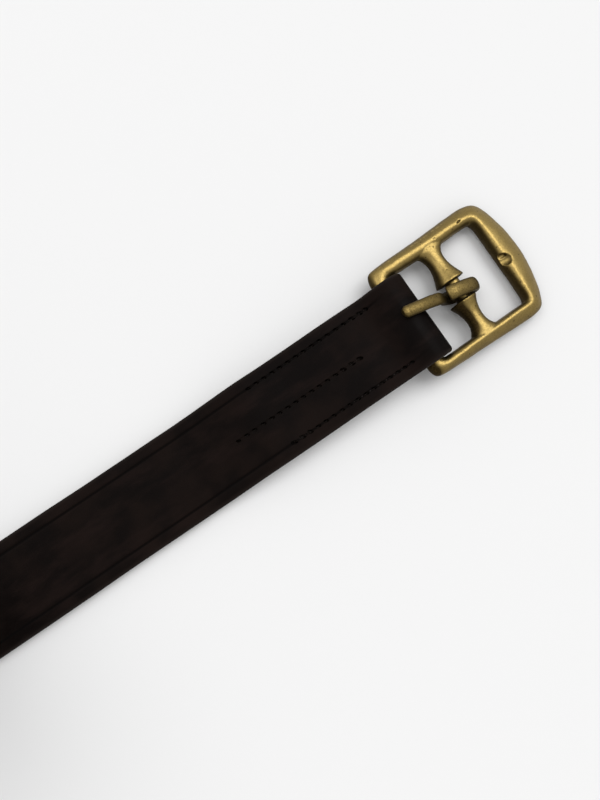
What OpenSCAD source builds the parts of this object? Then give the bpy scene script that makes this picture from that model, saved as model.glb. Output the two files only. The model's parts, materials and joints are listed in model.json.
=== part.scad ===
// Stirrup leather: a long bridle-leather strap sewn round the end bar of a cast brass buckle.
// Units are millimetres. +X runs along the strap towards the buckle, +Z is up, and the
// origin is on the floor, straight below the axis of the buckle's end bar.

/* [Strap] */
// Width of the strap
strap_w = 25.4; // [25:0.1:25.6]
// Thickness of the leather
strap_t = 3.5; // [3.2:0.1:3.7]
// How far the flat run reaches from the end bar back to the roll
flat_run = 185; // [180:5:220]
// Radius of the small bends in the middle of the doubled roll
core_r = 11.3; // [10.8:0.1:12]
// Distance from one layer of the roll to the next
layer_pitch = 4.2; // [4.1:0.05:4.4]
// Length of the turned-back end, from the end bar
chape_len = 62; // [60:1:66]

/* [Tongue holes] */
// Diameter of each hole for the tongue
hole_d = 5; // [4:0.5:5.5]
// Distance between holes, which is an inch on every stirrup leather
hole_pitch = 25.4; // [25.4:0.1:25.4]
// Number of holes
hole_count = 14; // [10:1:15]
// Distance from the strap's point to the first hole
first_hole = 102; // [96:1:108]

/* [Buckle] */
// Clear width between the side bars, where the strap passes
opening_w = 26; // [25.9:0.1:26.4]
// Radius of the end bar that the strap is sewn round
bar_r = 2.3; // [2.1:0.1:2.3]
// Thickness of the casting along its ridge
frame_t = 5; // [4.6:0.1:5]
// Distance from the end bar's axis to the neck of the centre bar
neck_x = 17.6; // [17:0.1:18]
// Radius of the neck that the tongue turns on
neck_r = 2.1; // [1.9:0.1:2.1]

/* [Stitching] */
// Distance between needle holes, ten to the inch
stitch_pitch = 2.54; // [2.4:0.02:2.6]
// Diameter of the waxed thread
thread_d = 0.6; // [0.5:0.05:0.6]

/* [Hidden] */

// Leather loop round the end bar
loop_gap = 0.35;
fold_r = bar_r + loop_gap + strap_t / 2;
floor_press = 0.15;
bar_z = bar_r + loop_gap + strap_t - floor_press;
layer_gap = 0.1;
close_x = -9;
heel_x = -2;
loop_lift = 1.6;
lift_start = -40;
skive_x = -48;
skive_t = 0.8;
settle_len = 7;

// Doubled roll: two arms of half turns that start from an S in the middle
arm_turns = 5;
roll_x = -flat_run;
roll_z = 2 * core_r + arm_turns * layer_pitch + strap_t / 2;
arc_steps = 26;
tip_len = 15;

// Buckle casting
end_half_w = 17.3;
far_half_w = 18.2;
far_corner_x = 30;
apex_x = 40.2;
window_x = 32.6;
window_corner_r = 1.4;
ridge_inset = 1.5;
base_t = 3.4;
rest_x = 38.7;
tilt = asin((bar_z - frame_t / 2) / rest_x);
rim_y = 3.1;
rim_r = 3.7;
waist_y = 8.5;
waist_r = 2.4;
root_r = 2.5;
seat_w = 4.2;
seat_depth = 1.1;
seat_x = 36;

// Tongue
eye_r = 2.5;
eye_slack = 0.8;
band_t = 1.55;
band_w = 4;
loop_y = -0.35;
tongue_len = 21.4;
tongue_t = 2.6;
tongue_root_w = 3.9;
tongue_tip_w = 3.2;
tongue_low = 0.7;
tongue_rise = 24;
tongue_skew = 3.75;

// Stitch rows: distance from the centre line, first hole and number of stitches
edge_row_y = 9.1;
left_start = -7.2;
centre_start = -16.5;
right_start = -5;
edge_stitches = 15;
centre_stitches = 15;
leg_gap = 0.35;
thread_sides = 6;
thread_sink = 0.32;

colour_leather = [0.09, 0.06, 0.05];
colour_brass = [0.56, 0.45, 0.24];
colour_thread = [0.14, 0.09, 0.07];

// ---- Small helpers ----

function smooth(u) = u <= 0 ? 0 : u >= 1 ? 1 : u * u * (3 - 2 * u);
function arc_points(cx, cz, r, a0, a1, n) =
    [for (i = [0:n]) let (a = a0 + (a1 - a0) * i / n) [cx + r * cos(a), cz + r * sin(a)]];
function curve(a, b, c, n) =
    [for (i = [0:n]) let (u = i / n) a * (1 - u) * (1 - u) + 2 * b * u * (1 - u) + c * u * u];
function backwards(list) = [for (i = [len(list) - 1:-1:0]) list[i]];
function mirrored(list) = [for (p = backwards(list)) [p[0], -p[1]]];
function heading(list, i) =
    let (a = list[max(i - 1, 0)], b = list[min(i + 1, len(list) - 1)], d = [b[0] - a[0], b[1] - a[1]])
    d / norm(d);

// ---- Strap ----

// Height of the turned-back end's underside above the floor
function lift(x) = loop_lift * smooth((x - lift_start) / (close_x - lift_start - 4))
    * (1 - smooth((x - close_x) / (heel_x - close_x)));

// Thickness of the turned-back end, skived thin towards its edge
function chape_t(x) = x > skive_x ? strap_t
    : x > -chape_len ? skive_t + (strap_t - skive_t) * (x + chape_len) / (skive_x + chape_len)
    : skive_t * smooth((x + chape_len + settle_len) / settle_len);

// Height of the centre of the long strap's leather
function strap_z(x) =
    let (sewn = lift(min(x, close_x)) + chape_t(x) + layer_gap * smooth((x + chape_len + settle_len) / 2)
         + strap_t / 2)
    sewn + (bar_z + fold_r - sewn) * smooth((x - close_x) / -close_x);

// Centres and radii of the half turns of the doubled roll
function turn_r(k) = 2 * core_r + (k - 0.5) * layer_pitch;
function side(k) = k % 2 == 0 ? 1 : -1;
function turn_z(k) = side(k) * layer_pitch / 2;
function arm_b(k) = k % 2 == 0
    ? arc_points(roll_x, roll_z - turn_z(k), turn_r(k), 270, 90, arc_steps)
    : arc_points(roll_x, roll_z - turn_z(k), turn_r(k), 90, -90, arc_steps);
function arm_a(k) = k % 2 == 0
    ? arc_points(roll_x, roll_z + turn_z(k), turn_r(k), -90, 90, arc_steps)
    : arc_points(roll_x, roll_z + turn_z(k), turn_r(k), 90, 270, arc_steps);
function without_last(list) = [for (i = [0:len(list) - 2]) list[i]];

tip_turn = arm_turns + 1;
tip_r = turn_r(tip_turn);
tip_z = roll_z - turn_z(tip_turn);
tip_angle = tip_len / tip_r * 180 / PI;

roll_line = concat(
    without_last(arc_points(roll_x, tip_z, tip_r, 180 - tip_angle, 90, arc_steps / 2)),
    [for (k = [arm_turns:-1:1]) each without_last(arm_b(k))],
    without_last(arc_points(roll_x, roll_z - core_r, core_r, 270, 90, arc_steps)),
    without_last(arc_points(roll_x, roll_z + core_r, core_r, -90, 90, arc_steps)),
    [for (k = [1:arm_turns]) each without_last(arm_a(k))],
    [[roll_x, strap_t / 2]]);
flat_line = [for (x = [-chape_len - settle_len:1:-1]) [x, strap_z(x)]];
fold_line = arc_points(0, bar_z, fold_r, 90, -90, 24);
top_line = concat(roll_line, flat_line, fold_line);
chape_line = [for (x = [-1:-1:-chape_len]) [x, lift(x) + chape_t(x) / 2]];
strap_line = concat(top_line, chape_line);

function half_t(i) = i < len(top_line) ? strap_t / 2 : chape_t(strap_line[i][0]) / 2;
function offset_side(list, way) =
    [for (i = [0:len(list) - 1]) let (h = heading(list, i))
        [list[i][0] - way * h[1] * half_t(i), max(list[i][1] + way * h[0] * half_t(i), 0)]];
function tip_side(way) =
    arc_points(roll_x, tip_z, tip_r + way * strap_t / 2, 180 - tip_angle, 180, 8);

// One layer of leather seen from its edge, given its two faces
module leather(face_a, face_b) {
    rotate([90, 0, 0]) linear_extrude(strap_w, center = true) polygon(concat(face_a, backwards(face_b)));
}

// The pointed end of the strap
module strap_tip() {
    tip_plan = concat([[tip_len + 1, strap_w / 2]], curve([tip_len * 0.6, strap_w / 2], [0, strap_w / 2],
        [0, 0], 8), curve([0, 0], [0, -strap_w / 2], [tip_len * 0.6, -strap_w / 2], 8),
        [[tip_len + 1, -strap_w / 2]]);
    intersection() {
        leather(tip_side(1), tip_side(-1));
        translate([roll_x - tip_r - strap_t, 0, tip_z]) rotate([0, -90, 0])
            linear_extrude(4 * strap_t, center = true) polygon(tip_plan);
    }
}

// Distance along the strap from its point to the end of the turn that holds a hole
function b_turn_len(k) = PI * turn_r(k) * (k == tip_turn ? 0.5 : 1);
function b_turns_len(k) = k > tip_turn ? 0 : b_turn_len(k) + b_turns_len(k + 1);
function turn_of(s) = [for (k = [tip_turn:-1:1]) if (s >= b_turns_len(k + 1) && s < b_turns_len(k)) k][0];

// One punched hole, at a distance from the strap's point
module tongue_hole(s) {
    k = turn_of(s);
    turned = (s - b_turns_len(k + 1)) / turn_r(k) * 180 / PI;
    angle = k == tip_turn ? 180 - turned : k % 2 == 0 ? 270 - turned : 90 - turned;
    translate([roll_x, 0, roll_z - turn_z(k)]) rotate([0, -angle, 0]) translate([turn_r(k), 0, 0])
        rotate([0, 90, 0]) cylinder(d = hole_d, h = strap_t + 0.6, center = true, $fn = 32);
}

module strap() {
    color(colour_leather) difference() {
        union() {
            leather(offset_side(strap_line, 1), offset_side(strap_line, -1));
            strap_tip();
        }
        for (i = [0:hole_count - 1]) tongue_hole(first_hole + i * hole_pitch);
    }
}

// ---- Buckle frame ----

// Places what is modelled flat, with the end bar's axis at the origin, on the tilted buckle
module on_buckle() {
    translate([0, 0, bar_z]) rotate([0, tilt, 0]) children();
}

// Half of the outline, drawn inwards by a margin
function half_outline(m) = concat(
    curve([-bar_r + m, 14], [-bar_r + m, end_half_w - m], [1.5, end_half_w - m], 6),
    curve([far_corner_x, far_half_w - m], [36.8 - m, far_half_w + 0.3 - m], [apex_x - 1.4 - m, 12.5], 10),
    [[apex_x - 0.6 - m, 8], [apex_x - 0.12 - m, 4], [apex_x - m, 0]]);

module outline(m) {
    polygon(concat(half_outline(m), mirrored(half_outline(m))));
}

// The open space between the side bars, with round corners at the outer bar
module window() {
    r = window_corner_r;
    translate([-10, -opening_w / 2]) square([10 + window_x - r, opening_w]);
    translate([-10, -opening_w / 2 + r]) square([10 + window_x, opening_w - 2 * r]);
    for (y = [-1, 1]) translate([window_x - r, y * (opening_w / 2 - r)]) circle(r, $fn = 32);
}

// Side bars and outer bar: a wide base with a narrower ridge on each face
module rim_casting() {
    difference() {
        union() {
            linear_extrude(base_t, center = true) outline(0);
            linear_extrude(frame_t, center = true) outline(ridge_inset);
        }
        linear_extrude(2 * frame_t, center = true) window();
        translate([seat_x - 10, -seat_w / 2, frame_t / 2 - seat_depth]) cube([10, seat_w, frame_t]);
    }
}

// Centre bar: it narrows to a waist on each side and flares to a rim beside the neck
module centre_bar() {
    half = opening_w / 2 + 1;
    flare = concat([[0, -half], [root_r + 0.8, -half]],
        curve([root_r + 0.8, -half + 0.5], [waist_r - 0.3, -waist_y - 1.5], [waist_r, -waist_y + 1], 6),
        curve([waist_r + 0.05, -waist_y + 1.5], [waist_r + 0.5, -rim_y - 1.2], [rim_r, -rim_y], 6),
        [[0, -rim_y]]);
    translate([neck_x, 0, 0]) rotate([-90, 0, 0]) {
        cylinder(r = neck_r, h = 2 * rim_y + 1, center = true, $fn = 48);
        for (way = [0, 180]) rotate([way, 0, 0]) rotate_extrude($fn = 48) polygon(flare);
    }
}

module buckle_frame() {
    color(colour_brass) on_buckle() {
        rim_casting();
        centre_bar();
        rotate([90, 0, 0]) cylinder(r = bar_r, h = opening_w + 1, center = true, $fn = 48);
    }
}

// ---- Tongue ----

// Places what is modelled with the neck's axis along Y and the tongue along +X
module on_neck() {
    on_buckle() translate([neck_x, loop_y, 0]) rotate([0, 0, -tongue_skew]) children();
}

module eye(r) {
    circle(r, $fn = 48);
    translate([-eye_slack, 0]) circle(r, $fn = 48);
    translate([-eye_slack, -r]) square([eye_slack, 2 * r]);
}

// The shaft seen from its side, curving a little down towards its blunt point
shaft_side = concat(
    curve([2.2, tongue_low - 0.6], [tongue_len * 0.5, tongue_low + 0.6], [tongue_len - 0.4, tongue_low - 0.3], 8),
    [[tongue_len, tongue_low + 0.3], [tongue_len, tongue_low + tongue_t - 1.2]],
    curve([tongue_len - 0.6, tongue_low + tongue_t - 0.6], [tongue_len * 0.5, tongue_low + tongue_t + 0.5],
        [2.2, tongue_low + tongue_t - 0.2], 8));
shaft_plan = [[0, -tongue_root_w / 2], [tongue_len + 1, -tongue_tip_w / 2],
              [tongue_len + 1, tongue_tip_w / 2], [0, tongue_root_w / 2]];

module tongue() {
    color(colour_brass) on_neck() rotate([0, 0, 180]) rotate([0, -tongue_rise + tilt, 0]) difference() {
        union() {
            rotate([90, 0, 0]) linear_extrude(band_w, center = true) eye(eye_r + band_t);
            rotate([0, 0, -tongue_skew]) intersection() {
                rotate([90, 0, 0]) linear_extrude(2 * tongue_root_w, center = true) polygon(shaft_side);
                linear_extrude(4 * tongue_len, center = true) polygon(shaft_plan);
            }
        }
        rotate([90, 0, 0]) linear_extrude(3 * band_w, center = true) eye(eye_r);
    }
}

// ---- Stitching ----

// The two faces that a row of stitches joins, and the level where its threads interlock
function top_face(x) = strap_z(x) + strap_t / 2 - thread_sink + 0.17;
function low_face(x) = lift(x) + thread_sink;
function mid_level(x) = (top_face(x) + low_face(x)) / 2;

// Route of one thread along its row: surface runs joined by turns at the middle of the leather
function thread_route(start, count, way) = concat(
    [[start + leg_gap, mid_level(start) + way * 0.6]],
    [for (i = [0:count - 1]) let (
            xa = start - i * stitch_pitch,
            xb = xa - stitch_pitch,
            za = way > 0 ? top_face(xa) : low_face(xa),
            zb = way > 0 ? top_face(xb) : low_face(xb))
        each concat(
            i == 0 ? [] : [[xa - leg_gap, mid_level(xa) + way * 0.6]],
            [[xa - leg_gap, za - way * leg_gap], [xa - 2 * leg_gap, za]],
            [[(xa + xb) / 2, (za + zb) / 2]],
            [[xb + 2 * leg_gap, zb], [xb + leg_gap, zb - way * leg_gap]],
            [[xb + leg_gap, mid_level(xb) + way * 0.6]],
            i == count - 1 ? [] : [[xb, mid_level(xb) + way * 0.3]])]);

// A tube swept along a route in an upright plane
module thread(y, start, count, way) {
    route = thread_route(start, count, way);
    n = len(route);
    r = thread_d / 2;
    rings = [for (i = [0:n - 1]) let (h = heading(route, i))
        each [for (j = [0:thread_sides - 1]) let (a = 360 * j / thread_sides)
            [route[i][0] - h[1] * r * cos(a), y + r * sin(a), route[i][1] + h[0] * r * cos(a)]]];
    sides = [for (i = [0:n - 2]) each [for (j = [0:thread_sides - 1]) let (
            k = (j + 1) % thread_sides, p = i * thread_sides, q = p + thread_sides)
        each [[p + j, p + k, q + k], [p + j, q + k, q + j]]]];
    caps = [[for (j = [thread_sides - 1:-1:0]) j],
            [for (j = [0:thread_sides - 1]) (n - 1) * thread_sides + j]];
    color(colour_thread) polyhedron(rings, concat(sides, caps));
}

strap();
buckle_frame();
tongue();
thread(edge_row_y, left_start, edge_stitches, 1);  // left_row_needle_thread
thread(edge_row_y, left_start, edge_stitches, -1);  // left_row_bobbin_thread
thread(-0.7, centre_start, centre_stitches, 1);  // centre_row_needle_thread
thread(-0.7, centre_start, centre_stitches, -1);  // centre_row_bobbin_thread
thread(-edge_row_y, right_start, edge_stitches, 1);  // right_row_needle_thread
thread(-edge_row_y, right_start, edge_stitches, -1);  // right_row_bobbin_thread
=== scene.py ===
# %% [markdown]
# # A stirrup leather and its brass buckle
# A stirrup leather hangs a stirrup from a saddle. It is one long strap of thick bridle leather,
# turned round the end bar of a cast brass buckle and sewn down with three rows of stitches.
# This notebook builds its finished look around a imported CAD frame, which gives every size,
# place and hinge. Everything is in metres, with +X along the strap towards the buckle.

import json
import math

import bpy
from mathutils import Matrix, Vector


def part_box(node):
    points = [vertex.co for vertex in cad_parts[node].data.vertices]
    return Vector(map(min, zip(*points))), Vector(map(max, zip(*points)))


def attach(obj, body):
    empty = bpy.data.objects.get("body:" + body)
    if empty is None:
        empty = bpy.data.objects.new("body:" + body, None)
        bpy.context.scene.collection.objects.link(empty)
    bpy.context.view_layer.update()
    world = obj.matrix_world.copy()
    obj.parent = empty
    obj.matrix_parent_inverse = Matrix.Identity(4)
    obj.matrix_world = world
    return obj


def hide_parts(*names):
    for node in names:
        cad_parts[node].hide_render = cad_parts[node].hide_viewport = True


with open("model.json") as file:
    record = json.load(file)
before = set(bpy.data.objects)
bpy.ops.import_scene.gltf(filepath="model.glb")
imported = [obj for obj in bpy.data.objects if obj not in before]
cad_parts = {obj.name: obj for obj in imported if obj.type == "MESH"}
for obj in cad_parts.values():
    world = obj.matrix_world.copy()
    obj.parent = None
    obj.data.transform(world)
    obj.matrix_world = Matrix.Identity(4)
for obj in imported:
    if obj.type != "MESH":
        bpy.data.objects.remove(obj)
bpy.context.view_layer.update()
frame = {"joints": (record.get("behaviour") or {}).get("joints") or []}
MM = 0.001

# %% [markdown]
# ## Sizes that everything shares
# A maker starts from a few driving sizes. Two are read from the frame: the strap's width and the
# height of the end bar, which is the buckle's hinge. The rest repeat the design's own numbers, so
# the bent strap lands exactly where the frame's strap is.

# %% Driving sizes
strap_low, strap_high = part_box("strap")
STRAP_W = strap_high.y - strap_low.y
STRAP_T = 3.5 * MM
BAR_Z = frame["joints"][0]["pos_m"][2]
BAR_R = 2.3 * MM
FOLD_R = BAR_R + 0.35 * MM + STRAP_T / 2
FRAME_T = 5 * MM
OUTER_REST = 38.7 * MM
TILT = math.asin((BAR_Z - FRAME_T / 2) / OUTER_REST)
ROLL_X = -185 * MM
CORE_R = 11.3 * MM
LAYER_PITCH = 4.2 * MM
ARM_TURNS = 5
ROLL_Z = 2 * CORE_R + ARM_TURNS * LAYER_PITCH + STRAP_T / 2
CHAPE_LEN = 62 * MM
print(f"strap {STRAP_W / MM:.1f} x {STRAP_T / MM:.1f} mm, buckle tilted {math.degrees(TILT):.1f} degrees")

# %% [markdown]
# ## Camera, floor and light
# The camera looks almost straight down from close by, turned so that the strap runs up to the
# right and leaves the picture at its left edge. Two wide soft lamps stand far off, as large panels
# would: a strong one beyond the buckle, which gives the brass its bright ridges, and a weaker one on
# the strap's left. Even light from the room fills the shadows.

# %% Camera
camera_data = bpy.data.cameras.new("camera")
camera_data.sensor_fit = "VERTICAL"
camera_data.sensor_height = 36
camera_data.lens = 28.05
camera_data.clip_start = 0.01
camera = bpy.data.objects.new("camera", camera_data)
bpy.context.scene.collection.objects.link(camera)
bpy.context.scene.camera = camera
camera.location = (-50.0 * MM, -12.2 * MM, 170.2 * MM)
camera.rotation_euler = [math.radians(a) for a in (6.1, -1.93, -34.24)]
bpy.context.view_layer.update()
print("camera looks along", [round(v, 2) for v in camera.matrix_world.to_3x3() @ Vector((0, 0, -1))])

# %% Floor and lamps
bpy.ops.object.select_all(action="DESELECT")
bpy.ops.mesh.primitive_plane_add(size=60, location=(0, 0, -0.1 * MM))
floor = bpy.context.object
floor.name = "floor"
paper = bpy.data.materials.new("pale_paper")
paper.use_nodes = True
matt = {"Base Color": (0.86, 0.86, 0.86, 1), "Roughness": 0.9, "Specular IOR Level": 0.1}
for key, value in matt.items():
    paper.node_tree.nodes["Principled BSDF"].inputs[key].default_value = value
floor.data.materials.append(paper)


def sky_lamp(name, heading, height, spread, strength):
    """A wide soft lamp far away, from a heading and height in degrees."""
    data = bpy.data.lights.new(name, "SUN")
    data.energy = strength
    data.angle = math.radians(spread)
    lamp = bpy.data.objects.new(name, data)
    bpy.context.scene.collection.objects.link(lamp)
    h, e = math.radians(heading), math.radians(height)
    source = Vector((math.cos(h) * math.cos(e), math.sin(h) * math.cos(e), math.sin(e)))
    lamp.rotation_euler = (-source).to_track_quat("-Z", "Y").to_euler()


sky_lamp("key_lamp", 14, 58, 42, 1.3)
sky_lamp("fill_lamp", 125, 60, 40, 0.55)
world = bpy.data.worlds.new("dim_room")
world.use_nodes = True
world.node_tree.nodes["Background"].inputs["Color"].default_value = (1, 1, 1, 1)
world.node_tree.nodes["Background"].inputs["Strength"].default_value = 0.58
bpy.context.scene.world = world
bpy.context.scene.view_settings.view_transform = "Standard"

# %% [markdown]
# ## Small helpers
# An edit-mode operator acts on what is selected, so a helper selects faces or edges by a test on
# their places, and another applies a modifier as soon as it is set. With these two, each step
# below reads as a person would do it by hand.

# %% Helpers for edit mode


def only(piece):
    """Selects one object and makes it active."""
    bpy.ops.object.select_all(action="DESELECT")
    piece.select_set(True)
    bpy.context.view_layer.objects.active = piece


def pick(piece, kind, test):
    """Selects the edges or faces that pass a test, and opens edit mode."""
    only(piece)
    bpy.ops.object.mode_set(mode="EDIT")
    bpy.ops.mesh.select_mode(type={"edges": "EDGE", "polygons": "FACE"}[kind])
    bpy.ops.mesh.select_all(action="DESELECT")
    bpy.ops.object.mode_set(mode="OBJECT")
    mesh = piece.data
    for item in getattr(mesh, kind):
        if kind == "edges":
            item.select = test(*(mesh.vertices[i].co for i in item.vertices))
        else:
            item.select = test(item)
    bpy.ops.object.mode_set(mode="EDIT")


def leave_edit():
    bpy.ops.object.mode_set(mode="OBJECT")


def applied(piece, kind, **settings):
    """Adds a modifier with its settings and applies it at once."""
    only(piece)
    modifier = piece.modifiers.new(kind.lower(), kind)
    for name, value in settings.items():
        setattr(modifier, name, value)
    bpy.ops.object.modifier_apply(modifier=modifier.name)


def settle(piece):
    """Puts the object at the origin, unturned, with its place in its mesh."""
    only(piece)
    bpy.ops.object.transform_apply(location=True, rotation=True, scale=True)


def smooth_step(u):
    """Goes smoothly from 0 to 1 as u does."""
    u = min(max(u, 0.0), 1.0)
    return u * u * (3 - 2 * u)


def between(before, here, after, later, u):
    """A place on the smooth curve through four points, a share u of the way from the second."""
    return [0.5 * (2 * b + (c - a) * u + (2 * a - 5 * b + 4 * c - d) * u * u + (3 * b - a - 3 * c + d) * u ** 3)
            for a, b, c, d in zip(before, here, after, later)]


def flat_path(name, points):
    """A curve that lies flat, for a Curve modifier to bend a piece along."""
    data = bpy.data.curves.new(name, "CURVE")
    data.dimensions = "2D"
    line = data.splines.new("POLY")
    line.points.add(len(points) - 1)
    for point, (x, y) in zip(line.points, points):
        point.co = (x, y, 0, 1)
    path = bpy.data.objects.new(name, data)
    bpy.context.scene.collection.objects.link(path)
    return path


def bend_along(piece, path):
    """Bends a piece in the upright plane. It is stood on its edge, bent, and laid back."""
    piece.data.transform(Matrix.Rotation(math.radians(-90), 4, "X"))
    applied(piece, "CURVE", object=path, deform_axis="POS_X")
    piece.data.transform(Matrix.Rotation(math.radians(90), 4, "X"))


def extent(piece):
    """Lowest and highest corner of a piece, in mm."""
    corners = [furthest(v.co[i] for v in piece.data.vertices) for furthest in (min, max) for i in range(3)]
    return [round(c / MM, 1) for c in corners]


# %% [markdown]
# ## The strap's route
# The strap is stored as a saddler's shop stores it: a flat run by the buckle and the rest in a
# doubled roll that stands on its edge of the bend. The roll is two arms of half turns that start
# from an S in the middle, so the strap's point ends on the outside. Seen from its side the whole
# strap is one line, so it is worked out once as a list of points along the leather's middle.

# %% Heights of the two layers
SEWN_CLOSE_X = -9 * MM
HEEL_X = -2 * MM
LIFT_START = -40 * MM
SKIVE_X = -48 * MM
SKIVE_T = 0.8 * MM
SETTLE = 7 * MM
LAYER_GAP = 0.1 * MM


def chape_lift(x):
    """How far the turned-back end stands off the floor, beside the end bar's bulge."""
    rise = smooth_step((x - LIFT_START) / (SEWN_CLOSE_X - LIFT_START - 4 * MM))
    return 1.6 * MM * rise * (1 - smooth_step((x - SEWN_CLOSE_X) / (HEEL_X - SEWN_CLOSE_X)))


def chape_thickness(x):
    """Thickness of the turned-back end, which is skived thin towards its edge."""
    if x > SKIVE_X:
        return STRAP_T
    if x > -CHAPE_LEN:
        return SKIVE_T + (STRAP_T - SKIVE_T) * (x + CHAPE_LEN) / (SKIVE_X + CHAPE_LEN)
    return SKIVE_T * smooth_step((x + CHAPE_LEN + SETTLE) / SETTLE)


def strap_height(x):
    """Height of the middle of the long strap's leather."""
    gap = LAYER_GAP * smooth_step((x + CHAPE_LEN + SETTLE) / (2 * MM))
    sewn = chape_lift(min(x, SEWN_CLOSE_X)) + chape_thickness(x) + gap + STRAP_T / 2
    return sewn + (BAR_Z + FOLD_R - sewn) * smooth_step((x - SEWN_CLOSE_X) / -SEWN_CLOSE_X)


# %% The route from the strap's point to its turned-back end


def arc(x, z, radius, start, end, step=3):
    """Points along an arc in the upright plane, without the last one."""
    count = max(2, round(abs(end - start) / step))
    angles = [math.radians(start + (end - start) * i / count) for i in range(count)]
    return [(x + radius * math.cos(a), z + radius * math.sin(a)) for a in angles]


def turn_radius(k):
    return 2 * CORE_R + (k - 0.5) * LAYER_PITCH


def turn_offset(k):
    return LAYER_PITCH / 2 * (1 if k % 2 == 0 else -1)


def outer_arm(k):
    start, end = (270, 90) if k % 2 == 0 else (90, -90)
    return arc(ROLL_X, ROLL_Z - turn_offset(k), turn_radius(k), start, end)


def inner_arm(k):
    start, end = (-90, 90) if k % 2 == 0 else (90, 270)
    return arc(ROLL_X, ROLL_Z + turn_offset(k), turn_radius(k), start, end)


last_turn = ARM_TURNS + 1
route = arc(ROLL_X, ROLL_Z - turn_offset(last_turn), turn_radius(last_turn), 180, 90)
for k in range(ARM_TURNS, 0, -1):
    route += outer_arm(k)
route += arc(ROLL_X, ROLL_Z - CORE_R, CORE_R, 270, 90, 6) + arc(ROLL_X, ROLL_Z + CORE_R, CORE_R, -90, 90, 6)
for k in range(1, ARM_TURNS + 1):
    route += inner_arm(k)
route.append((ROLL_X, STRAP_T / 2))
flat_start = -CHAPE_LEN - SETTLE
flat_steps = 90
route += [(flat_start * (1 - i / flat_steps), strap_height(flat_start * (1 - i / flat_steps)))
          for i in range(flat_steps)]
fold_index = len(route)
route += arc(0, BAR_Z, FOLD_R, 90, -90, 5)
chape_steps = 80
route += [(-CHAPE_LEN * i / chape_steps,
           max(chape_lift(-CHAPE_LEN * i / chape_steps) + chape_thickness(-CHAPE_LEN * i / chape_steps) / 2,
               SKIVE_T / 2)) for i in range(chape_steps + 1)]
reach = [0.0]
for (x0, z0), (x1, z1) in zip(route, route[1:]):
    reach.append(reach[-1] + math.hypot(x1 - x0, z1 - z0))
STRAP_LEN = reach[-1]
fold_reach = reach[fold_index]
print(f"strap {STRAP_LEN / MM:.0f} mm of leather, {fold_reach / MM:.0f} mm of it from the point to the end bar")


def reach_at(x, lower):
    """Distance along the strap at a place on its sewn part: on the top layer or the lower one."""
    span = range(fold_index, len(route) - 1) if lower else range(fold_index)
    for i in span:
        if min(route[i][0], route[i + 1][0]) <= x <= max(route[i][0], route[i + 1][0]) and (
                lower or route[i][0] > ROLL_X + 60 * MM or route[i + 1][0] > ROLL_X + 60 * MM):
            if lower and route[i][1] > BAR_Z:
                continue
            return reach[i] + (x - route[i][0]) / (route[i + 1][0] - route[i][0]) * (reach[i + 1] - reach[i])
    return None


# %% [markdown]
# ## Cutting the strap flat
# The strap is made as a saddler makes it: cut flat, edges rounded, creased, skived, punched and
# pricked, and bent last. A long box gets its edges bevelled, is cut lengthwise where the crease
# lines run, and is then subdivided along its length, so that it can bend. Bending comes at the
# end, with a Curve modifier, so every hole and crease bends with the leather.

# %% Blank with round edges
CREASE_Y = 9.3 * MM
CENTRE_ROW_Y = -0.7 * MM
STITCH = 2.54 * MM
STITCHES = 15
row_starts = {"left": -7.2 * MM, "centre": -16.5 * MM, "right": -5 * MM}
row_sides = {"left": CREASE_Y, "centre": CENTRE_ROW_Y, "right": -CREASE_Y}

bpy.ops.object.select_all(action="DESELECT")
bpy.ops.mesh.primitive_cube_add(size=1, location=(STRAP_LEN / 2, 0, 0))
strap = bpy.context.object
strap.name = "strap_leather"
strap.scale = (STRAP_LEN, STRAP_W, STRAP_T)
settle(strap)
pick(strap, "edges", lambda a, b: abs(a.x - b.x) > STRAP_LEN / 2)
bpy.ops.mesh.bevel(offset=0.95 * MM, segments=4, profile=0.5, affect="EDGES")
cuts = [row + d * MM for row in row_sides.values() for d in (-1.5, -0.85, -0.4, -0.15, 0.15, 0.4, 0.85, 1.5)]
cuts += [y * MM for y in (-6, -3.8, 2.8, 5.4)]
for y in cuts:
    bpy.ops.mesh.select_all(action="SELECT")
    bpy.ops.mesh.bisect(plane_co=(0, y, 0), plane_no=(0, 1, 0))
leave_edit()
print("blank with", len(cuts), "lengthwise cuts")

# %% Rings along the strap, closer together where it folds
# One subdivision makes about 100 cuts at most, so the length is divided twice.
FOLD_CUTS = 22
FOLD_CUT_GAP = 0.75
FIRST_FOLD_CUT = -1.13
for _ in range(2):
    pick(strap, "edges", lambda a, b: abs(a.x - b.x) > 3 * MM)
    bpy.ops.mesh.subdivide(number_cuts=24)
    leave_edit()
only(strap)
bpy.ops.object.mode_set(mode="EDIT")
for i in range(FOLD_CUTS):
    bpy.ops.mesh.select_all(action="SELECT")
    bpy.ops.mesh.bisect(plane_co=(fold_reach + (i * FOLD_CUT_GAP + FIRST_FOLD_CUT) * MM, 0, 0),
                        plane_no=(1, 0, 0))
leave_edit()
print("blank:", len(strap.data.vertices), "vertices")

# %% Crease, stitch groove, skive and point
TIP_LEN = 15 * MM
CREASE_DEPTH = 0.26 * MM
GROOVE_DEPTH = 0.2 * MM
LINE_HALF = 0.42 * MM
FOLD_LEN = math.pi * FOLD_R


def groove_ends(row, lower):
    """First and last place of a stitch row along the strap."""
    near, far = (reach_at(row_starts[row] - STITCH * n, lower) for n in (0, STITCHES))
    return min(near, far) - 0.8 * MM, max(near, far) + 0.8 * MM


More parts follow.
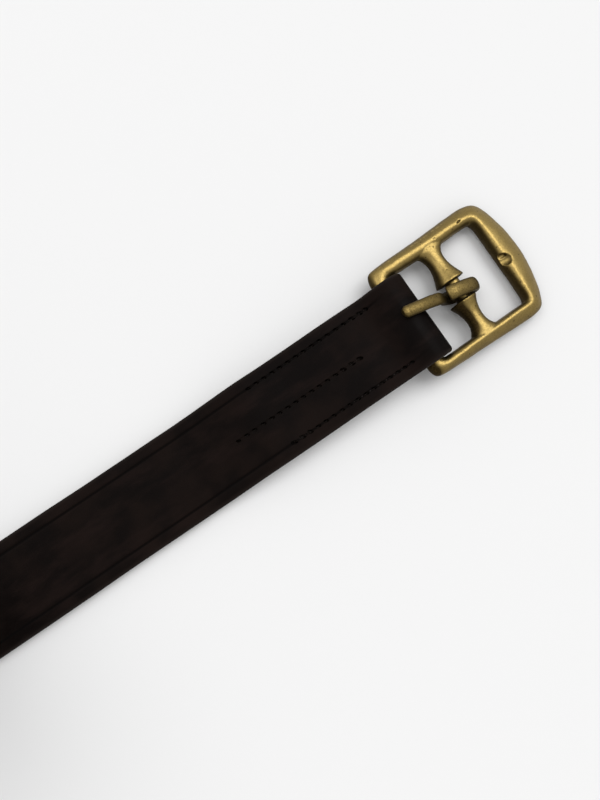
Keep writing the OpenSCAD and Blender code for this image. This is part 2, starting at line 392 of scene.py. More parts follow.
centre_spans = [groove_ends("centre", lower) for lower in (False, True)]
for v in strap.data.vertices:
    s, y, top = v.co.x, v.co.y, v.co.z > STRAP_T * 0.49
    near_fold = min(abs(s - fold_reach), abs(s - fold_reach - FOLD_LEN))
    if fold_reach < s < fold_reach + FOLD_LEN:
        near_fold = 0
    if top:
        across = min(abs(y - CREASE_Y), abs(y + CREASE_Y))
        depth = CREASE_DEPTH * (1 - smooth_step(across / LINE_HALF))
        v.co.z -= depth * smooth_step((s - 8 * MM) / (12 * MM)) * smooth_step((near_fold - 1.5 * MM) / (4 * MM))
        if any(start < s < end for start, end in centre_spans):
            v.co.z -= GROOVE_DEPTH * (1 - smooth_step(abs(y - CENTRE_ROW_Y) / LINE_HALF))
    past_bar = s - fold_reach - FOLD_LEN
    if past_bar > 0:
        v.co.z *= chape_thickness(max(-past_bar, -CHAPE_LEN + 0.01 * MM)) / STRAP_T
    if s < TIP_LEN:
        u = 1 - s / TIP_LEN
        v.co.y *= max(math.sqrt(max(1 - u * u, 0)) * 0.75 + 0.25 * (1 - u), 0.02)
print("creased, skived and pointed")

# %% Slow waves of a hand-cut hide
waves = bpy.data.textures.new("hide_waves", "CLOUDS")
waves.noise_scale = 22 * MM
waves.noise_depth = 1
applied(strap, "DISPLACE", texture=waves, strength=0.2 * MM, mid_level=0.5, texture_coords="LOCAL")

# %% Punched holes for the tongue
HOLE_R = 2.5 * MM
HOLE_PITCH = 25.4 * MM
FIRST_HOLE = 102 * MM
HOLES = 14


def joined(pieces):
    """Makes one object of several."""
    only(pieces[0])
    for piece in pieces:
        piece.select_set(True)
    bpy.ops.object.join()
    return bpy.context.object


def cut_out(piece, cutter):
    """Cuts one mesh out of another and removes the cutter."""
    applied(piece, "BOOLEAN", object=cutter, operation="DIFFERENCE", solver="EXACT")
    bpy.data.objects.remove(cutter)


punches = []
for i in range(HOLES):
    bpy.ops.mesh.primitive_cylinder_add(vertices=28, radius=HOLE_R, depth=3 * STRAP_T,
                                        location=(FIRST_HOLE + i * HOLE_PITCH, 0, 0))
    punches.append(bpy.context.object)
cut_out(strap, joined(punches))
print("punched", HOLES, "holes")

# %% Awl holes for the stitches
# An awl makes a slanted slit. Each slit is a thin prism, turned a little across the row. Where a
# row is sewn back over itself, its slits are pulled wider.
SLIT_L = 1.7 * MM
SLIT_W = 0.84 * MM
SLIT_DEEP = 1.25 * MM
SLANT = math.radians(-17)
sewn_back = {"left": (0, 1, 2), "centre": (0, 1, 2), "right": (STITCHES, STITCHES - 1, STITCHES - 2)}


def slit_place(row, i, lower):
    """Place along the strap and thickness share of one slit."""
    x = row_starts[row] - i * STITCH
    return reach_at(x, lower), (chape_thickness(x) / STRAP_T if lower else 1.0)


def slit(row, i, lower):
    """One slanted awl slit in the grain side."""
    s, share = slit_place(row, i, lower)
    wide = 1.35 if i in sewn_back[row] else 1.0
    wobble = math.sin(i * 2.4 + len(row))
    place = (s + 0.08 * MM * wobble, row_sides[row], STRAP_T / 2 * share)
    bpy.ops.mesh.primitive_cylinder_add(vertices=10, radius=0.5, depth=1, location=place,
                                        rotation=(0, 0, SLANT + 0.08 * wobble))
    bpy.context.object.scale = (SLIT_L * (0.94 + 0.08 * wobble) * wide, SLIT_W * wide, 2 * SLIT_DEEP * share)
    return bpy.context.object


slits = [slit(row, i, lower) for row in row_starts for i in range(STITCHES + 1) for lower in (False, True)]
cut_out(strap, joined(slits))
print("pricked", len(row_starts) * (STITCHES + 1) * 2, "slits")

# %% [markdown]
# ## Sewing
# A saddler sews with one waxed linen thread and a needle at each end, so that each face shows
# its own thread, and the two cross inside the leather at every hole. Each thread is a round
# cord that dips into one awl hole after another. It is laid out on the flat strap and bends with
# it. The first holes are sewn twice, to lock the seam, so a second strand lies there.

# %% Threads on the flat strap
THREAD_R = 0.3 * MM
DEEP = -0.98
# One stitch: share of the way to the next hole, and height over the leather's face in mm
stitch_shape = [(0.0, DEEP), (0.19, -0.86), (0.31, -0.5), (0.41, -0.24), (0.5, -0.19), (0.59, -0.24),
                (0.69, -0.5), (0.81, -0.86)]


def thread_points(row, lower, indices, aside):
    """Points of one thread, from hole to hole, over the land between them."""
    points = []
    for i in indices:
        s, share = slit_place(row, i, lower)
        after, _ = slit_place(row, i + 1, lower)
        way = 1 if after > s else -1
        face = STRAP_T / 2 * share - 0.26 * MM
        y = row_sides[row] + aside
        lean = way * 0.16 * MM
        gap = abs(after - s)
        points += [(s + way * gap * u, y + lean * (1 - 2 * u), face + d * MM * share) for u, d in stitch_shape]
    points.append((after, y - lean, face + DEEP * MM * share))
    return points


def sewn_thread(name, row, lower):
    """A thread as round cords, turned into one mesh."""
    data = bpy.data.curves.new(name, "CURVE")
    data.dimensions = "3D"
    data.bevel_depth = THREAD_R
    data.bevel_resolution = 3
    data.use_fill_caps = True
    back = sorted(sewn_back[row])
    strands = [(range(STITCHES), 0.0), ([i for i in back if i < STITCHES][:2], 0.42 * MM)]
    for indices, aside in strands:
        points = thread_points(row, lower, list(indices), aside)
        cord = data.splines.new("POLY")
        cord.points.add(len(points) - 1)
        for point, place in zip(cord.points, points):
            point.co = (*place, 1)
    thread = bpy.data.objects.new(name, data)
    bpy.context.scene.collection.objects.link(thread)
    only(thread)
    bpy.ops.object.convert(target="MESH")
    thread = bpy.context.object
    pick(thread, "polygons", lambda face: True)
    bpy.ops.mesh.normals_make_consistent(inside=False)
    leave_edit()
    return thread


threads = {}
for row in row_starts:
    for lower, side in ((False, "needle"), (True, "bobbin")):
        threads[f"{row}_row_{side}_thread"] = sewn_thread(f"{row}_{side}_cord", row, lower)
print("threads:", list(threads))

# %% [markdown]
# ## Bending the strap
# Before it bends, each point's place on the flat strap is stored as an attribute, so that grain
# and colour follow the leather round every bend. The Curve modifier then lays the strap along the
# route. The route lies flat while it bends, because a flat curve never twists, so the strap is
# stood on its edge first and laid back afterwards.

# %% Store the flat place, then bend
path = flat_path("route", route)


def bent(piece):
    """Stores each point's flat place, then bends the piece along the route."""
    flat_place = piece.data.attributes.new("flat_place", "FLOAT_VECTOR", "POINT")
    for v in piece.data.vertices:
        flat_place.data[v.index].vector = v.co
    bend_along(piece, path)


bent(strap)
only(strap)
bpy.ops.object.shade_smooth_by_angle(angle=math.radians(38))
applied(strap, "WEIGHTED_NORMAL", keep_sharp=True, weight=60)
print("bent strap, lowest and highest corner in mm:", extent(strap))
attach(strap, "sewn_strap")
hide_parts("strap")

# %% Bend the threads
for node, thread in threads.items():
    bent(thread)
    only(thread)
    bpy.ops.object.shade_smooth()
    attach(thread, "sewn_strap")
    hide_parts(node)
bpy.data.objects.remove(path)
print("threads bent:", len(threads))

# %% [markdown]
# ## Finishes
# Colours and wear come from node materials. A small class wraps a socket, so that node sums can
# be written as plain sums, and one method makes any other node with its settings and inputs.


# %% Short way to write node sums
class Wire:
    """One output socket of a material's nodes, with sums written as operators."""

    def __init__(self, tree, socket):
        self.tree = tree
        self.socket = socket

    def node(self, kind, settings=(), output=0, **sockets):
        """Makes a node, sets its settings, then its inputs, and gives one of its outputs."""
        made = self.tree.nodes.new(kind)
        for name, value in dict(settings).items():
            setattr(made, name, value)
        for name, value in sockets.items():
            key = int(name[1:]) if name[0] == "i" and name[1:].isdigit() else name.replace("_", " ")
            if isinstance(value, Wire):
                self.tree.links.new(value.socket, made.inputs[key])
            else:
                made.inputs[key].default_value = value
        return Wire(self.tree, made.outputs[output])

    def sum(self, operation, a, b=0.0):
        return self.node("ShaderNodeMath", {"operation": operation}, i0=a, i1=b)

    def __add__(self, other):
        return self.sum("ADD", self, other)

    def __radd__(self, other):
        return self.sum("ADD", other, self)

    def __sub__(self, other):
        return self.sum("SUBTRACT", self, other)

    def __rsub__(self, other):
        return self.sum("SUBTRACT", other, self)

    def __mul__(self, other):
        return self.sum("MULTIPLY", self, other)

    def __rmul__(self, other):
        return self.sum("MULTIPLY", other, self)

    def __truediv__(self, other):
        return self.sum("DIVIDE", self, other)

    def __neg__(self):
        return self.sum("MULTIPLY", self, -1.0)

    def __abs__(self):
        return self.sum("ABSOLUTE", self)

    def sine(self):
        return self.sum("SINE", self)

    def clamp(self):
        return self.node("ShaderNodeClamp", (), i0=self, i1=0.0, i2=1.0)

    def ramp(self, start, end, low=0.0, high=1.0):
        """Goes smoothly from low to high while this goes from start to end."""
        return self.node("ShaderNodeMapRange", {"interpolation_type": "SMOOTHSTEP"},
                         i0=self, i1=start, i2=end, i3=low, i4=high)

    def tint(self, first, second):
        """A colour that goes from the first to the second as this goes from 0 to 1."""
        first, second = (c if isinstance(c, Wire) else (*c, 1.0) for c in (first, second))
        return self.node("ShaderNodeMix", {"data_type": "RGBA"}, output=2, i0=self, i6=first, i7=second)

    def stretched(self, x, y, z):
        return self.node("ShaderNodeVectorMath", {"operation": "MULTIPLY"}, i0=self, i1=(x, y, z))

    def noise(self, size, detail=3.0, roughness=0.5):
        """Noise from 0 to 1 with grains of about a size in metres."""
        return self.node("ShaderNodeTexNoise", {"normalize": True},
                         Vector=self, Scale=1 / size, Detail=detail, Roughness=roughness)

    def cells(self, size):
        """Distance to the nearest cell point, for grain and pits of about a size in metres."""
        return self.node("ShaderNodeTexVoronoi", {"feature": "F1"}, Vector=self, Scale=1 / size)

    def part(self, axis):
        """One of a vector's three parts: 0, 1 or 2."""
        return self.node("ShaderNodeSeparateXYZ", (), output=axis, Vector=self)


def finish_material(name, **constants):
    """A material with a Principled shader, its constants, and a wire to build the rest from."""
    material = bpy.data.materials.new(name)
    material.use_nodes = True
    tree = material.node_tree
    shader = tree.nodes["Principled BSDF"]
    for key, value in constants.items():
        shader.inputs[key.replace("_", " ")].default_value = value
    place = Wire(tree, tree.nodes.new("ShaderNodeTexCoord").outputs["Object"])
    return material, shader, place


def feed(shader, key, wire):
    """Links a wire into one of the shader's inputs."""
    wire.tree.links.new(wire.socket, shader.inputs[key])


def bumped(height, distance, strength=1.0, under=None):
    """A bump from a height between 0 and 1 and its depth in metres, on top of another bump."""
    more = {} if under is None else {"Normal": under}
    return height.node("ShaderNodeBump", (), Strength=strength, Distance=distance, Height=height, **more)


# %% [markdown]
# ## The leather's finish
# Bridle leather is curried with dark dye and wax, then slicked and dressed. The grain side stays
# almost black with a warm brown cast and a soft satin shine, which varies in slow blotches where
# hands and wax have been. Lighter slow blotches and streaks in its colour are partly the leather's uneven
# tone and partly painted sheen. The flesh side is paler and matt. Edges are burnished smoother, with a
# lighter colour along them that is a painted highlight on their rounded bevel. Crease lines are darker,
# and fine pores break up the shine.

# %% Bridle leather
leather, shader, place = finish_material("bridle_leather", Specular_IOR_Level=0.05)
flat = place.node("ShaderNodeAttribute", {"attribute_name": "flat_place"}, output=1)
y, z = flat.part(1), flat.part(2)
edge = abs(y).ramp(STRAP_W / 2 - 1.3 * MM, STRAP_W / 2 - 0.2 * MM)
grain_side = z.ramp(-1.0 * MM, 0.8 * MM)
blotch = flat.noise(15 * MM, 3, 0.55)
streak = flat.stretched(0.3, 1, 1).noise(5 * MM, 4, 0.6)
pores = flat.cells(0.42 * MM)
fibres = flat.noise(0.8 * MM, 5, 0.7)
fold_away = abs(flat.part(0) - (fold_reach + FOLD_LEN / 2)).ramp(FOLD_LEN / 2 + 2 * MM, FOLD_LEN / 2 + 7 * MM)
crease = abs(abs(y) - CREASE_Y).ramp(0.1 * MM, 0.5 * MM, 1.0, 0.0) * fold_away
# Lighter slow blotches: partly the leather's uneven tone, partly painted sheen.
dye_and_sheen = blotch.ramp(0.38, 0.66).tint((0.0023, 0.0011, 0.0008), (0.0071, 0.0038, 0.0028))
# Lighter streaks in the colour: painted sheen on the waxed grain.
dye_and_sheen = (streak.ramp(0.45, 0.75) * 0.65).tint(dye_and_sheen, (0.0118, 0.0064, 0.0052))
# Darker along the crease lines.
dye_and_sheen = (crease * 0.8).tint(dye_and_sheen, (0.0014, 0.0009, 0.0008))
flesh = fibres.tint((0.010, 0.006, 0.0042), (0.022, 0.013, 0.009))
side = grain_side.tint(flesh, dye_and_sheen)
# A lighter colour along the rounded edges: a painted highlight. The edge mask also makes them smoother.
side = (edge * 0.7).tint(side, (0.0145, 0.0102, 0.0084))
feed(shader, "Base Color", side)
shine = 0.56 + (streak - 0.5) * 0.2 + (blotch - 0.5) * 0.4 + (fibres - 0.5) * 0.15
feed(shader, "Roughness", (shine + (1 - grain_side) * 0.3 + crease * 0.15 - edge * 0.08).clamp())
fine = bumped(pores, 0.02 * MM, 0.7)
wave = bumped(fibres, 0.04 * MM, 0.6, fine)
feed(shader, "Normal", bumped(streak, 0.1 * MM, 0.5, wave))
strap.data.materials.clear()
strap.data.materials.append(leather)
print("leather:", len(leather.node_tree.nodes), "nodes")

# %% Waxed thread
waxed, shader, place = finish_material("waxed_thread", Specular_IOR_Level=0.15)
flat = place.node("ShaderNodeAttribute", {"attribute_name": "flat_place"}, output=1)
strands = (flat.part(0) * (2 * math.pi / (0.45 * MM)) + flat.part(1) * (2 * math.pi / (0.3 * MM))).sine()
fuzz = flat.noise(0.25 * MM, 4, 0.7)
wax = (fuzz * 0.7 + strands * 0.25).clamp()
feed(shader, "Base Color", wax.tint((0.004, 0.0025, 0.002), (0.019, 0.0125, 0.0098)))
feed(shader, "Roughness", 0.5 + (fuzz - 0.5) * 0.3)
feed(shader, "Normal", bumped(strands * 0.5 + fuzz, 0.05 * MM, 0.8))
for thread in threads.values():
    thread.data.materials.append(waxed)
print("thread:", len(waxed.node_tree.nodes), "nodes")

# %% [markdown]
# ## Brass finishes
# The buckle and its tongue are sand cast in brass and tumbled. Raised edges are rubbed bright and
# hollows keep a brown film. On top of that, level faces are painted lighter as painted light from above,
# and steep, downward and strap-facing faces are painted darker as painted shade, darkest on the lower
# trumpet's side towards the leather, as a painted reflection of the dark strap and the shade under the
# tongue. So the colour follows which way a face points on the piece, and how hollow it is. The
# tongue is the same metal with a duller, more pitted skin.


# %% Brass
def brass_finish(name, lit_rubbed_colour, pit_size, pit_depth, shade_and_film_strength, dull):
    """Cast brass, from how dark its painted shade and hollow patina go, its colour on lit level faces and worn
    edges, and how dull its rough skin is.
    """
    material, shader, place = finish_material(name, Metallic=1.0)
    facing = Wire(place.tree, place.tree.nodes.new("ShaderNodeTexCoord").outputs["Normal"])
    level, strapward = facing.part(2), -facing.part(0)
    peaks = Wire(place.tree, place.tree.nodes.new("ShaderNodeNewGeometry").outputs["Pointiness"])
    cloud = place.noise(3.5 * MM, 4, 0.6)
    speckle = place.noise(0.4 * MM, 4, 0.7)
    pitted = place.noise(2.4 * MM, 2).ramp(0.5 - dull, 0.62 - dull)
    pits = place.cells(pit_size).ramp(0.06, 0.3, 1.0, 0.0) * pitted
    # Lighter on upward, level faces: painted light from above. The pointiness part is real wear that rubs
    # raised edges bright.
    lit_and_rubbed = (level.ramp(0.55, 0.99) + (peaks - 0.5) * 6 + (cloud - 0.5) * 0.5).clamp()
    tone = lit_and_rubbed.tint([0.42 * c for c in lit_rubbed_colour], lit_rubbed_colour)
    # Painted reflection of the dark strap and painted shade under the tongue, on the lower trumpet's side
    # towards the leather.
    leather_reflection_and_shade = place.part(0).ramp(18.5 * MM, 17 * MM) * place.part(1).ramp(-0.5 * MM, -3.5 * MM)
    hollow = peaks.ramp(0.475, 0.43)
    # Painted shade on strap-facing, steep and downward faces, plus real patina in the hollows.
    shade_and_patina = (strapward.ramp(0.3, 0.8) + (1 - level.ramp(-0.1, 0.3)) + hollow * 0.7).clamp()
    painted_shade_and_film = (shade_and_patina * shade_and_film_strength + strapward.ramp(0.05, 0.35) * leather_reflection_and_shade).clamp()
    tone = painted_shade_and_film.tint(tone, (0.028, 0.017, 0.006))
    tone = (speckle.ramp(0.38, 0.72) * (0.45 + 5 * dull)).tint(tone, [0.3 * c for c in lit_rubbed_colour])
    tone = (pits * 0.75).tint(tone, (0.03, 0.018, 0.008))
    feed(shader, "Base Color", tone)
    rough = 0.46 + dull - lit_and_rubbed * 0.1 + (speckle - 0.5) * 0.25 + (cloud - 0.5) * 0.14
    rough = rough + pits * 0.2 + shade_and_patina * 0.15
    feed(shader, "Roughness", rough.clamp())
    skin = bumped(speckle, 0.04 * MM, 0.8)
    skin = bumped(1 - pits, pit_depth, 0.8, skin)
    feed(shader, "Normal", skin)
    return material


cast_brass = brass_finish("cast_brass", (0.365, 0.26, 0.088), 1.1 * MM, 0.05 * MM, 0.85, 0)
tongue_brass = brass_finish("tongue_brass", (0.25, 0.178, 0.06), 0.7 * MM, 0.12 * MM, 0.85, 0.06)
print("brass finishes:", cast_brass.name, tongue_brass.name)

# %% [markdown]
# ## The buckle frame
# The frame is one brass casting: two side bars, a wide outer bar for the tongue to rest on, a
# round end bar inside the leather, and a centre bar. Its section is a low ridge: a steep inner
# face, a crest near the opening, and a long slope to the outer edge. It starts from a torus, as
# a bar bent into a ring, and each ring of the torus is laid between the outer and inner outlines.

# %% Outlines of the ring
# Each station: outer edge (x, y), inner edge (x, y), crest's place from the inner edge, half height,
# and how full the inner and outer slopes are. Castings are never quite even: the upper side bar
# spreads a little more than the lower one.
upper = [
    (-2.3, 0, 2.3, 0, 0.50, 2.3, 2.0, 2.0), (-2.3, 8, 2.3, 8, 0.50, 2.3, 2.0, 2.0),
    (-2.4, 12, 2.4, 11.6, 0.50, 2.3, 2.0, 2.0), (-2.35, 14.6, 3.1, 12.8, 0.50, 2.35, 2.0, 1.9),
    (-1.3, 16.8, 4.2, 13.1, 0.48, 2.4, 2.1, 1.8), (1.2, 17.45, 5.8, 13.1, 0.50, 2.5, 2.1, 1.9),
    (6.5, 17.8, 8.6, 13.05, 0.50, 2.5, 2.1, 1.8), (14, 18.1, 14.3, 13.1, 0.48, 2.5, 2.1, 1.6),
    (22, 18.6, 21, 13.35, 0.44, 2.5, 2.0, 1.55), (28.6, 19.0, 27, 13.7, 0.38, 2.5, 1.9, 1.5),
    (32.6, 19.05, 30.9, 13.72, 0.33, 2.5, 1.9, 1.45), (36.2, 18.0, 31.9, 13.2, 0.29, 2.5, 1.9, 1.45),
    (38.1, 15.0, 32.35, 11.7, 0.26, 2.5, 1.9, 1.45), (39.3, 11.0, 32.4, 8.6, 0.25, 2.5, 1.9, 1.45),
    (40.1, 6.2, 32.3, 5.0, 0.25, 2.5, 1.9, 1.45), (40.3, 0, 32.2, 0, 0.25, 2.5, 1.9, 1.45)]
lower = [
    (39.7, -5.0, 32.2, -4.5, 0.26, 2.5, 1.9, 1.45), (38.6, -9.8, 32.1, -8.2, 0.26, 2.5, 1.9, 1.45),
    (37.3, -13.5, 32.05, -11.2, 0.27, 2.5, 1.9, 1.45), (35.6, -16.3, 31.6, -12.55, 0.29, 2.5, 2.0, 1.45),
    (32.6, -17.4, 30.7, -12.85, 0.30, 2.5, 2.1, 1.45), (28.6, -17.45, 27, -12.85, 0.31, 2.5, 2.2, 1.45),
    (22, -17.3, 21, -12.9, 0.34, 2.5, 2.2, 1.45), (14, -17.1, 14.3, -12.95, 0.38, 2.5, 2.2, 1.5),
    (6.5, -16.95, 8.6, -12.95, 0.45, 2.5, 2.1, 1.6), (1.2, -16.75, 5.8, -13.0, 0.48, 2.5, 2.1, 1.85),
    (-1.3, -16.2, 4.2, -13.0, 0.48, 2.4, 2.1, 1.8), (-2.35, -14.3, 3.1, -12.8, 0.50, 2.35, 2.0, 1.9),
    (-2.4, -12, 2.4, -11.6, 0.50, 2.3, 2.0, 2.0), (-2.3, -8, 2.3, -8, 0.50, 2.3, 2.0, 2.0)]
ring = upper + lower


def at_ring(t):
    """The station at a place around the ring, on smooth curves through the given ones."""
    n = len(ring)
    i = int(math.floor(t)) % n
    u = t - math.floor(t)
    before, here, after, later = (ring[(i + d) % n] for d in (-1, 0, 1, 2))
    return between(before, here, after, later, u)


def signed_power(value, power):
    """A power that keeps the sign, for sections between an ellipse and a box."""
    return math.copysign(abs(value) ** power, value)


# %% The ring, from a torus
RING_STEPS = 180
SECTION_STEPS = 40
bpy.ops.object.select_all(action="DESELECT")
bpy.ops.mesh.primitive_torus_add(major_segments=RING_STEPS, minor_segments=SECTION_STEPS)
rim = bpy.context.object
rim.name = "buckle_casting"
for v in rim.data.vertices:
    step, corner = divmod(v.index, SECTION_STEPS)
    ox, oy, ix, iy, crest, height, inner_n, outer_n = at_ring(step * len(ring) / RING_STEPS)
    turned = 2 * math.pi * corner / SECTION_STEPS
    c, s = math.cos(turned), math.sin(turned)
    n = outer_n if c > 0 else inner_n
    reach_w = (1 - crest) if c > 0 else crest
    w = crest + reach_w * signed_power(c, 2 / n)
    v.co = Vector((ix + (ox - ix) * w, iy + (oy - iy) * w, height * signed_power(s, 2 / n))) * MM
rim.data.update()
print("ring:", len(rim.data.polygons), "faces")

# %% [markdown]
# The centre bar is two trumpets with their wide rims towards the middle, where a thin neck
# between them holds the tongue's eye. Each starts as a cylinder cut into slices, and each slice
# is widened by the trumpet's profile: wide where it grows out of the side bar, narrow at its
# waist, and wide again at its rim.

# %% Centre bar
NECK_X = 17.6
NECK_R = 2.1
RIM_Y = 3.1
ROOT_Y = 14.6
# Each entry: place along the bar, half width along the buckle, half height, in mm
upper_profile = [(3.1, 4.35, 3.6), (3.35, 4.4, 3.6), (4.2, 4.1, 3.35), (5.6, 3.5, 2.95), (7.2, 2.95, 2.5),
                 (8.8, 2.66, 2.25), (10.4, 2.7, 2.2), (11.6, 3.0, 2.25), (12.7, 3.6, 2.35), (13.6, 4.7, 2.4),
                 (14.6, 5.6, 2.3)]
lower_profile = [(3.1, 4.15, 3.5), (3.35, 4.2, 3.5), (4.2, 3.75, 3.15), (5.6, 3.1, 2.7), (7.2, 2.65, 2.35),
                 (8.8, 2.5, 2.15), (10.4, 2.65, 2.15), (11.6, 3.1, 2.25), (12.7, 3.9, 2.35), (13.6, 4.9, 2.4),
                 (14.6, 5.6, 2.3)]


def trumpet_half_widths(profile, y):
    """Half width along the buckle and half height of the centre bar, at a place along the bar."""
    y = min(max(y, profile[0][0]), profile[-1][0])
    for (y0, w0, h0), (y1, w1, h1) in zip(profile, profile[1:]):
        if y <= y1:
            u = (y - y0) / (y1 - y0)
            return w0 + (w1 - w0) * u, h0 + (h1 - h0) * u
    return profile[-1][1:]


def sliced_cylinder(name, start, end, slices):
    """A cylinder of radius 1 along +Y, cut into slices."""
    bpy.ops.object.select_all(action="DESELECT")
    bpy.ops.mesh.primitive_cylinder_add(vertices=56, radius=1, depth=end - start,
                                        location=(0, (start + end) / 2, 0), rotation=(math.radians(90), 0, 0))
    piece = bpy.context.object
    piece.name = name
    settle(piece)
    pick(piece, "edges", lambda a, b: abs(a.y - b.y) > (end - start) * 0.9)
    bpy.ops.mesh.subdivide(number_cuts=slices)
    leave_edit()
    return piece


casting = [rim]
for hand, profile, middle in ((1, upper_profile, NECK_X - 0.3), (-1, lower_profile, NECK_X - 0.55)):
    trumpet = sliced_cylinder("trumpet", RIM_Y, ROOT_Y, 46)
    for v in trumpet.data.vertices:
        half_w, half_h = trumpet_half_widths(profile, v.co.y)
        v.co = Vector((middle + hand * v.co.x * half_w, v.co.y, v.co.z * half_h)) * MM
    if hand < 0:
        trumpet.data.transform(Matrix.Rotation(math.pi, 4, (0, 0, 1)))
        trumpet.data.transform(Matrix.Translation((2 * middle * MM, 0, 0)))
    casting.append(trumpet)
neck = sliced_cylinder("neck", -RIM_Y - 0.6, RIM_Y + 0.6, 4)
for v in neck.data.vertices:
    v.co = Vector((NECK_X + v.co.x * NECK_R, v.co.y, v.co.z * NECK_R)) * MM
casting.append(neck)
print("centre bar from", len(casting) - 1, "turned shapes")


# %% [markdown]
# ## One casting
# The ring, the two trumpets and the neck overlap, as they would in the mould. A voxel remesh gives
# them one skin, and smoothing rounds the corners where they meet, as poured metal does. The
# tongue's seat and a few casting pits are stretched balls, cut out one after another. A second
# remesh evens out the cuts, and a slow texture takes away the last of the machine-like evenness.

# %% Cast as one piece
def ball(place, size, turn=0.0):
    """A stretched ball, for dimples and hollows. Places and sizes in mm."""
    bpy.ops.mesh.primitive_uv_sphere_add(segments=32, ring_count=20, radius=1)
    piece = bpy.context.object
    piece.scale = [v * MM for v in size]
    piece.rotation_euler.z = math.radians(turn)
    piece.location = Vector(place) * MM
    settle(piece)
    return piece


rim = joined(casting)
applied(rim, "REMESH", mode="VOXEL", voxel_size=0.17 * MM, use_smooth_shade=True)
applied(rim, "SMOOTH", factor=0.5, iterations=4)
seat_deep = ball((33.2, 1.15, 1.75), (1.5, 0.75, 0.75), -8)
seat_wide = ball((31.6, -0.1, 3.7), (4.5, 2.35, 2.85), -4)
dimples = [ball((28.6, 15.7, 2.55), (0.8, 0.3, 0.7), 12), ball((19.8, 15.3, 2.55), (0.34, 0.28, 0.6)),
           ball((37.9, -7.6, 1.55), (0.3, 0.26, 0.5)), ball((17.2, 6.4, 2.9), (0.24, 0.24, 0.4)),
           ball((37.1, -9.4, 1.75), (0.22, 0.3, 0.5))]
for cutter in (seat_deep, seat_wide, joined(dimples)):
    cut_out(rim, cutter)
print("casting:", len(rim.data.polygons), "faces")

# %% Even out and tilt into place
applied(rim, "REMESH", mode="VOXEL", voxel_size=0.2 * MM, use_smooth_shade=True)
applied(rim, "SMOOTH", factor=0.5, iterations=2)
cast_waves = bpy.data.textures.new("cast_waves", "CLOUDS")
cast_waves.noise_scale = 4.5 * MM
applied(rim, "DISPLACE", texture=cast_waves, strength=0.16 * MM, mid_level=0.5, texture_coords="LOCAL")
buckle_place = Matrix.Translation((0, 0, BAR_Z)) @ Matrix.Rotation(TILT, 4, "Y")
rim.data.transform(buckle_place)
rim.data.materials.clear()
rim.data.materials.append(cast_brass)
rim.name = "buckle_casting"
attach(rim, "buckle")
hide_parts("buckle_frame")
print("buckle:", len(rim.data.polygons), "faces")

# %% [markdown]
# ## The tongue
# The tongue is a cast brass bar bent round the centre bar's neck. A straight tapered bar is made
# first: narrow as the shaft, wide where it wraps, and thin where it passes under the neck. Its point
# is rounded, and a Curve modifier bends it: over the neck from its cut end, round the far side,
# underneath, and out to the point. The eye stays larger than the neck, so the tongue swings freely.

# %% The bend
TONGUE_RISE = math.radians(24)
TONGUE_SKEW = math.radians(7.5)
TONGUE_Y = -0.35
# Each entry: place along the tongue and height over the neck's middle, in mm, from the cut end
bend = [(6.1, 2.35), (5.5, 2.95), (4.5, 3.4), (3.0, 3.62), (1.4, 3.68), (0, 3.68), (-1.8, 3.55), (-3.6, 3.0),
        (-4.9, 1.8), (-5.4, 0.4), (-5.1, -1.0), (-4.2, -2.0), (-3.0, -2.6), (-1.5, -3.05), (0.2, -3.22),
        (2.0, -3.1), (3.7, -2.6), (5.1, -1.7), (6.2, -0.6), (7.2, 0.35), (8.5, 1.15), (10.2, 1.65),
        (12.5, 1.88), (15.5, 1.85), (19, 1.6), (21.8, 1.25)]


def curve_through(points, steps):
    """Points on a smooth curve through the given ones."""
    made = []
    for i in range(len(points) - 1):
        before, here = points[max(i - 1, 0)], points[i]
        after, later = points[i + 1], points[min(i + 2, len(points) - 1)]
        for k in range(steps):
            made.append(tuple(between(before, here, after, later, k / steps)))
    return made + [points[-1]]


bend_line = curve_through(bend, 6)
BAR_LEN = sum(math.dist(a, b) for a, b in zip(bend_line, bend_line[1:]))
print(f"tongue bar {BAR_LEN:.1f} mm long before it is bent")

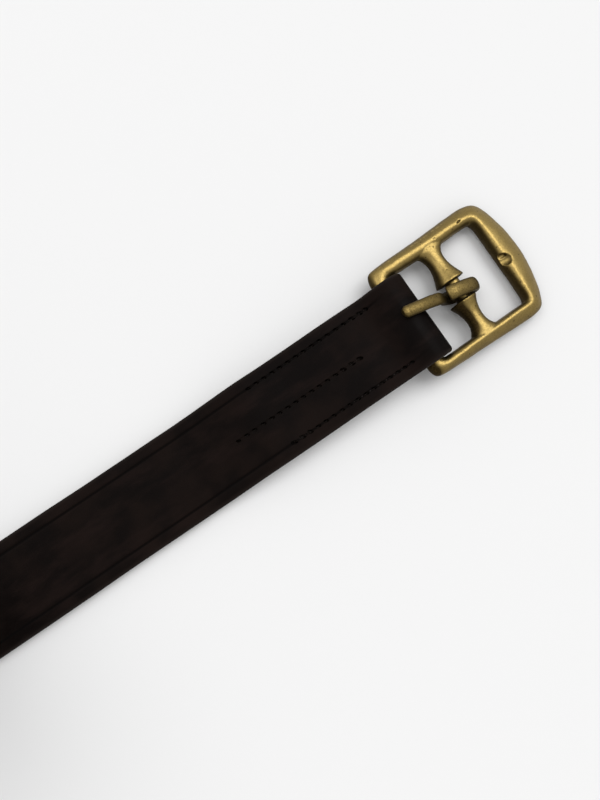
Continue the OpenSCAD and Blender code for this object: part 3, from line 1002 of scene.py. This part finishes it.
# %% The straight bar
EYE_WIDE, SHAFT_WIDE = 4.05, 3.4
EYE_THICK, SHAFT_THICK = 2.25, 2.3
bpy.ops.object.select_all(action="DESELECT")
bpy.ops.mesh.primitive_cube_add(size=1, location=(BAR_LEN / 2, 0, 0))
tongue = bpy.context.object
tongue.name = "tongue_bar"
tongue.scale = (BAR_LEN, 1, 1)
settle(tongue)
pick(tongue, "edges", lambda a, b: abs(a.x - b.x) > BAR_LEN / 2)
bpy.ops.mesh.bevel(offset=0.45, segments=7, profile=0.5, affect="EDGES")
leave_edit()
pick(tongue, "edges", lambda a, b: abs(a.x - b.x) > BAR_LEN / 2)
bpy.ops.mesh.subdivide(number_cuts=150)
leave_edit()
for v in tongue.data.vertices:
    s = v.co.x
    under = smooth_step((s - 11.5) / 3) * (1 - smooth_step((s - 19) / 4))
    shaft = smooth_step((s - 20) / 5)
    width = EYE_WIDE + (SHAFT_WIDE - EYE_WIDE) * shaft - 0.2 * smooth_step((s - 32) / 12)
    thick = EYE_THICK + (SHAFT_THICK - EYE_THICK) * shaft - 0.6 * under
    from_end = min(s, BAR_LEN - s)
    at_cut = s < BAR_LEN / 2
    rounding = 1 - (1 - min(from_end / (0.3 if at_cut else 1.3), 1)) ** 2.2 * (0.1 if at_cut else 0.5)
    v.co.y *= width * rounding
    v.co.z *= thick * rounding
print("straight bar:", len(tongue.data.vertices), "vertices")

# %% Bend and place the tongue
tongue.data.transform(Matrix.Scale(MM, 4))
bend_path = flat_path("bend", [(u * MM, w * MM) for u, w in bend_line])
bend_along(tongue, bend_path)
bpy.data.objects.remove(bend_path)
applied(tongue, "REMESH", mode="VOXEL", voxel_size=0.13 * MM, use_smooth_shade=True)
applied(tongue, "SMOOTH", factor=0.5, iterations=4)
applied(tongue, "DISPLACE", texture=cast_waves, strength=0.14 * MM, mid_level=0.5, texture_coords="LOCAL")
tongue_place = (buckle_place @ Matrix.Translation((NECK_X * MM, TONGUE_Y * MM, 0))
                @ Matrix.Rotation(-TONGUE_SKEW, 4, "Z") @ Matrix.Rotation(math.pi, 4, "Z")
                @ Matrix.Rotation(TILT - TONGUE_RISE, 4, "Y"))
tongue.data.transform(tongue_place)
tongue.data.materials.append(tongue_brass)
print("tongue, lowest and highest corner in mm:", extent(tongue))
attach(tongue, "buckle_tongue")
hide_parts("tongue")
